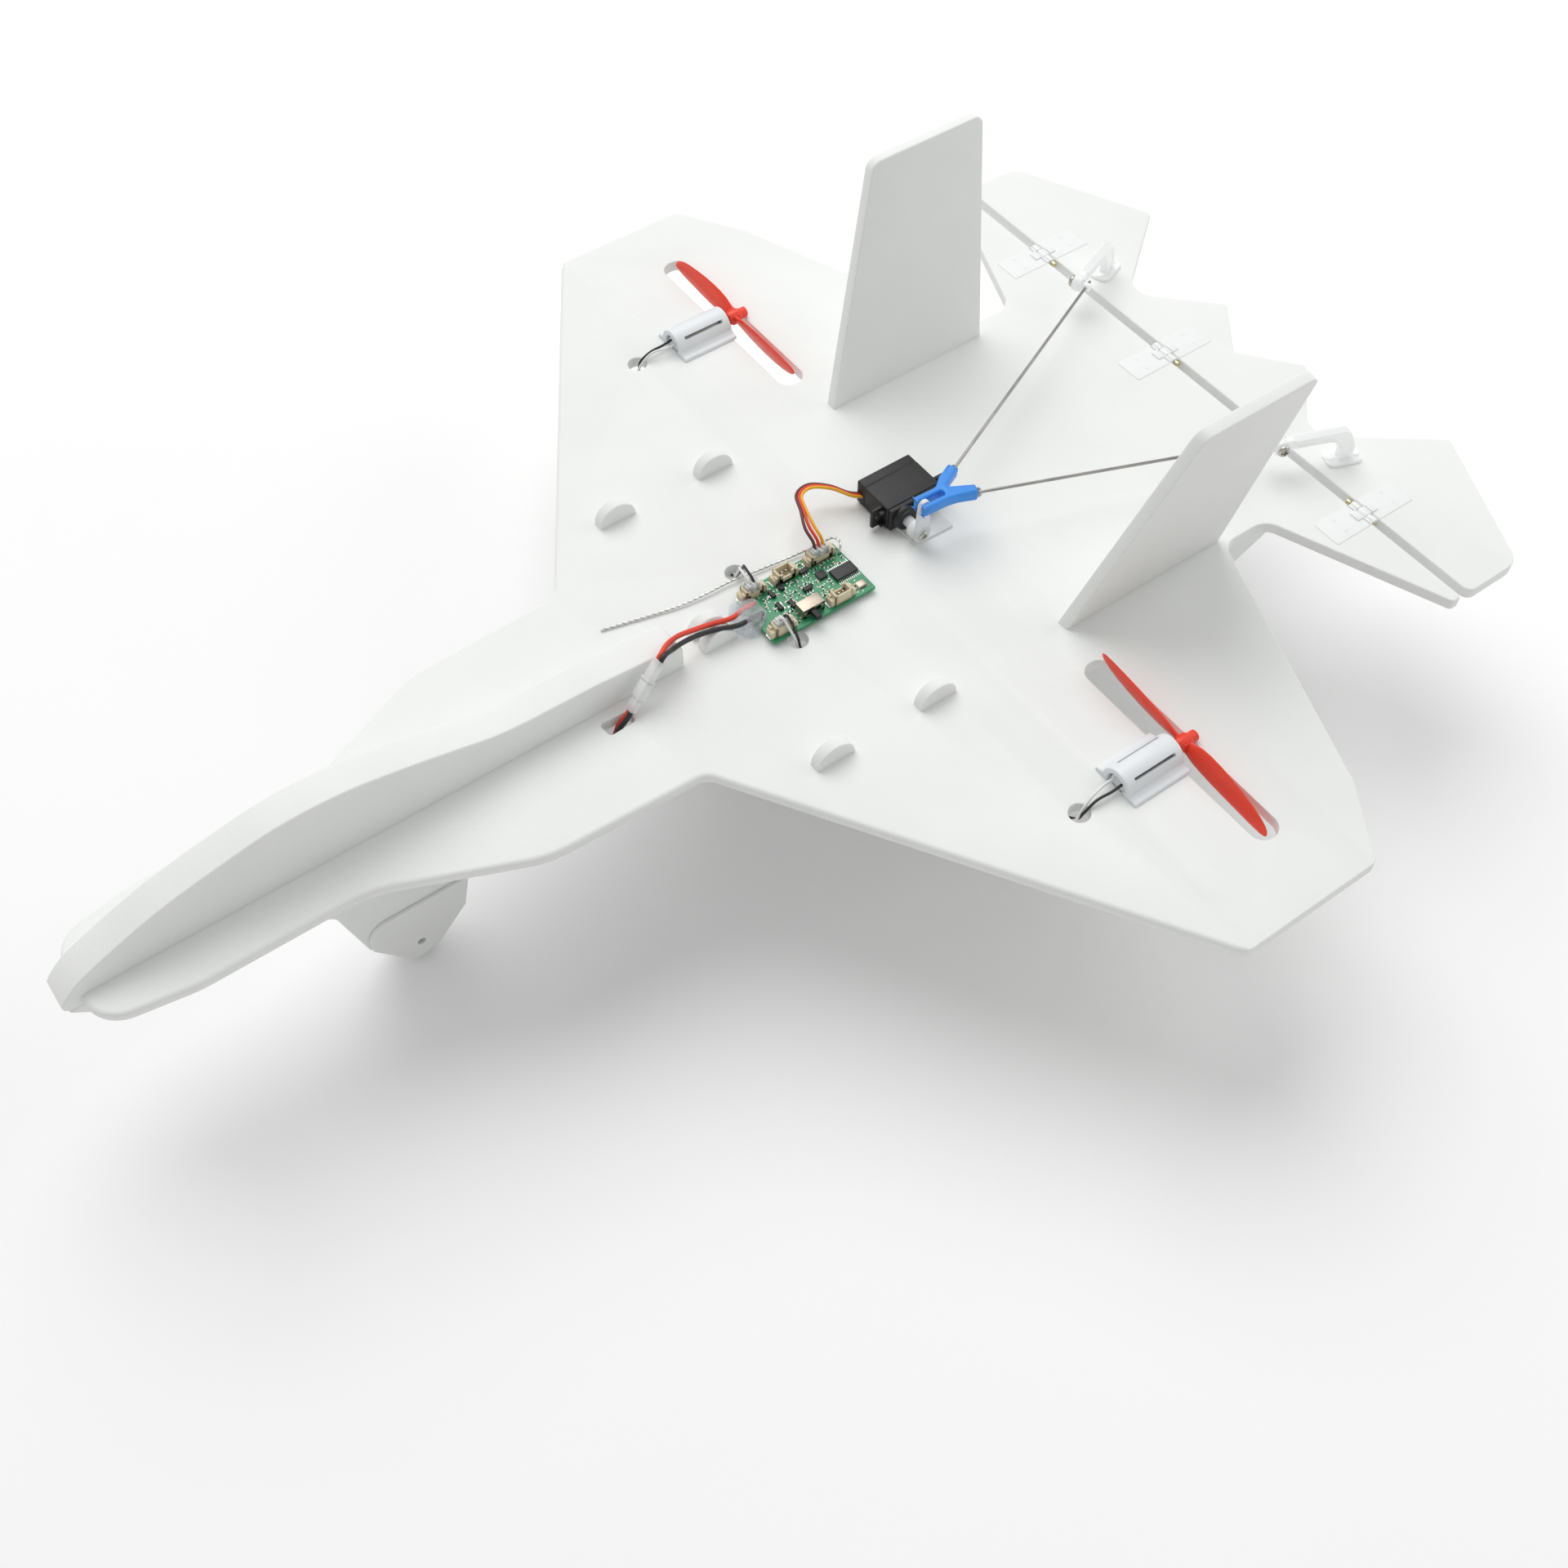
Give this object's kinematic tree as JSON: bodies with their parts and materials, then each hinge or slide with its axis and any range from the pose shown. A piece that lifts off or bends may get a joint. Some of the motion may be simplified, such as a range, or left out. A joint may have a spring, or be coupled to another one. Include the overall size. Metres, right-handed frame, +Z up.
{
  "type": "foam radio-controlled model aeroplane",
  "caption": "Flat foam model aeroplane with swept wings, canted twin fins, saw-tooth hinged elevator, keel nose, pusher propellers, a servo pushrod linkage and receiver board.",
  "frame": {"origin": "centre of the underside of the main board at the wing spar line", "axes": "+X towards the port wing tip, +Y towards the tail, +Z up"},
  "size_m": [0.34, 0.4425, 0.1409],
  "materials": {
    "white_foam": "pressed fine-bead foam sheet",
    "carbon_rod": "satin fibre rod",
    "white_plastic": "moulded, satin",
    "motor_steel": "drawn can",
    "bright_steel": "bright drawn",
    "red_plastic": "moulded, slight gloss",
    "white_wire": "soft insulation",
    "black_wire": "soft insulation",
    "red_wire": "soft insulation",
    "orange_wire": "soft insulation",
    "brown_wire": "soft insulation",
    "green_laminate": "solder resist",
    "foam_tape": "closed-cell mounting tape",
    "black_resin": "moulded resin",
    "ivory_plastic": "moulded nylon",
    "black_plastic": "moulded, fine texture",
    "braided_wire": "twisted strands",
    "clear_glue": "hot-melt glue",
    "cell_film": "heat-sealed film",
    "blue_plastic": "moulded, satin"
  },
  "bodies": {
    "airframe": {"antenna_wire": "braided_wire", "battery_cell": "cell_film", "battery_lead_black": "black_wire", "battery_lead_red": "red_wire", "battery_pad": "foam_tape", "battery_plug": "white_plastic", "battery_socket": "white_plastic", "belly_keel": "white_foam", "chip_bodies": "black_resin", "crystal_can": "motor_steel", "glue_blob": "clear_glue", "hinge_leaves_fixed": "white_plastic", "hinge_pins": "bright_steel", "hinge_screws_fixed": "bright_steel", "main_board": "white_foam", "metal_pins": "bright_steel", "motor_leads_black": "black_wire", "motor_leads_white": "white_wire", "nose_keel": "white_foam", "passive_parts": "black_resin", "port_fin": "white_foam", "port_motor_can": "motor_steel", "port_motor_mount": "white_plastic", "port_nacelle_plate": "white_foam", "receiver_board": "green_laminate", "receiver_tape": "foam_tape", "servo_case": "black_plastic", "servo_lead_brown": "brown_wire", "servo_lead_orange": "orange_wire", "servo_lead_red": "red_wire", "servo_lid": "black_plastic", "servo_tape": "foam_tape", "skid_plates": "white_foam", "starboard_fin": "white_foam", "starboard_motor_can": "motor_steel", "starboard_motor_mount": "white_plastic", "starboard_nacelle_plate": "white_foam", "switch_can": "motor_steel", "wing_spar": "carbon_rod", "wire_plugs": "white_plastic", "wire_sockets": "ivory_plastic"},
    "port_prop": {"port_propeller": "red_plastic", "port_motor_shaft": "bright_steel"},
    "starboard_prop": {"starboard_propeller": "red_plastic", "starboard_motor_shaft": "bright_steel"},
    "servo_horn": {"servo_output": "black_plastic", "servo_arm": "white_plastic", "servo_arm_screw": "bright_steel"},
    "pushrods": {"fork_link": "blue_plastic", "port_pushrod": "bright_steel", "starboard_pushrod": "bright_steel", "rod_collars": "bright_steel", "rod_stops": "bright_steel"},
    "elevator_flap": {"elevator": "white_foam", "port_horn": "white_plastic", "starboard_horn": "white_plastic", "hinge_leaves_moving": "white_plastic", "hinge_screws_moving": "bright_steel"},
    "switch_slider": {"switch_lever": "black_plastic"}
  },
  "joints": [
    {"name": "port_prop_spin", "type": "hinge", "parent": "airframe", "child": "port_prop", "pos_m": [0.1106, 0.0267, 0.0054], "axis": [0, 1, 0], "continuous": true},
    {"name": "starboard_prop_spin", "type": "hinge", "parent": "airframe", "child": "starboard_prop", "pos_m": [-0.1106, 0.0267, 0.0054], "axis": [0, 1, 0], "continuous": true},
    {"name": "servo_arm_swing", "type": "hinge", "parent": "airframe", "child": "servo_horn", "pos_m": [0.0074, 0.0134, 0.00885], "axis": [1, 0, 0], "range_deg": [-14, 14]},
    {"name": "fork_pin_turn", "type": "hinge", "parent": "servo_horn", "child": "pushrods", "pos_m": [0.0074, 0.0134, 0.02105], "axis": [1, 0, 0], "range_deg": [-16, 16]},
    {"name": "elevator_hinge", "type": "hinge", "parent": "airframe", "child": "elevator_flap", "pos_m": [0, 0.1336, 0.0032], "axis": [1, 0, 0], "range_deg": [-17, 17]},
    {"name": "switch_slide", "type": "slide", "parent": "airframe", "child": "switch_slider", "axis": [0, 1, 0], "range_m": [0, 0.0018]}
  ],
  "couplings": [
    {"joint": "elevator_hinge", "follows": "servo_arm_swing", "ratio": 1.135},
    {"joint": "fork_pin_turn", "follows": "servo_arm_swing", "ratio": -1.09}
  ]
}
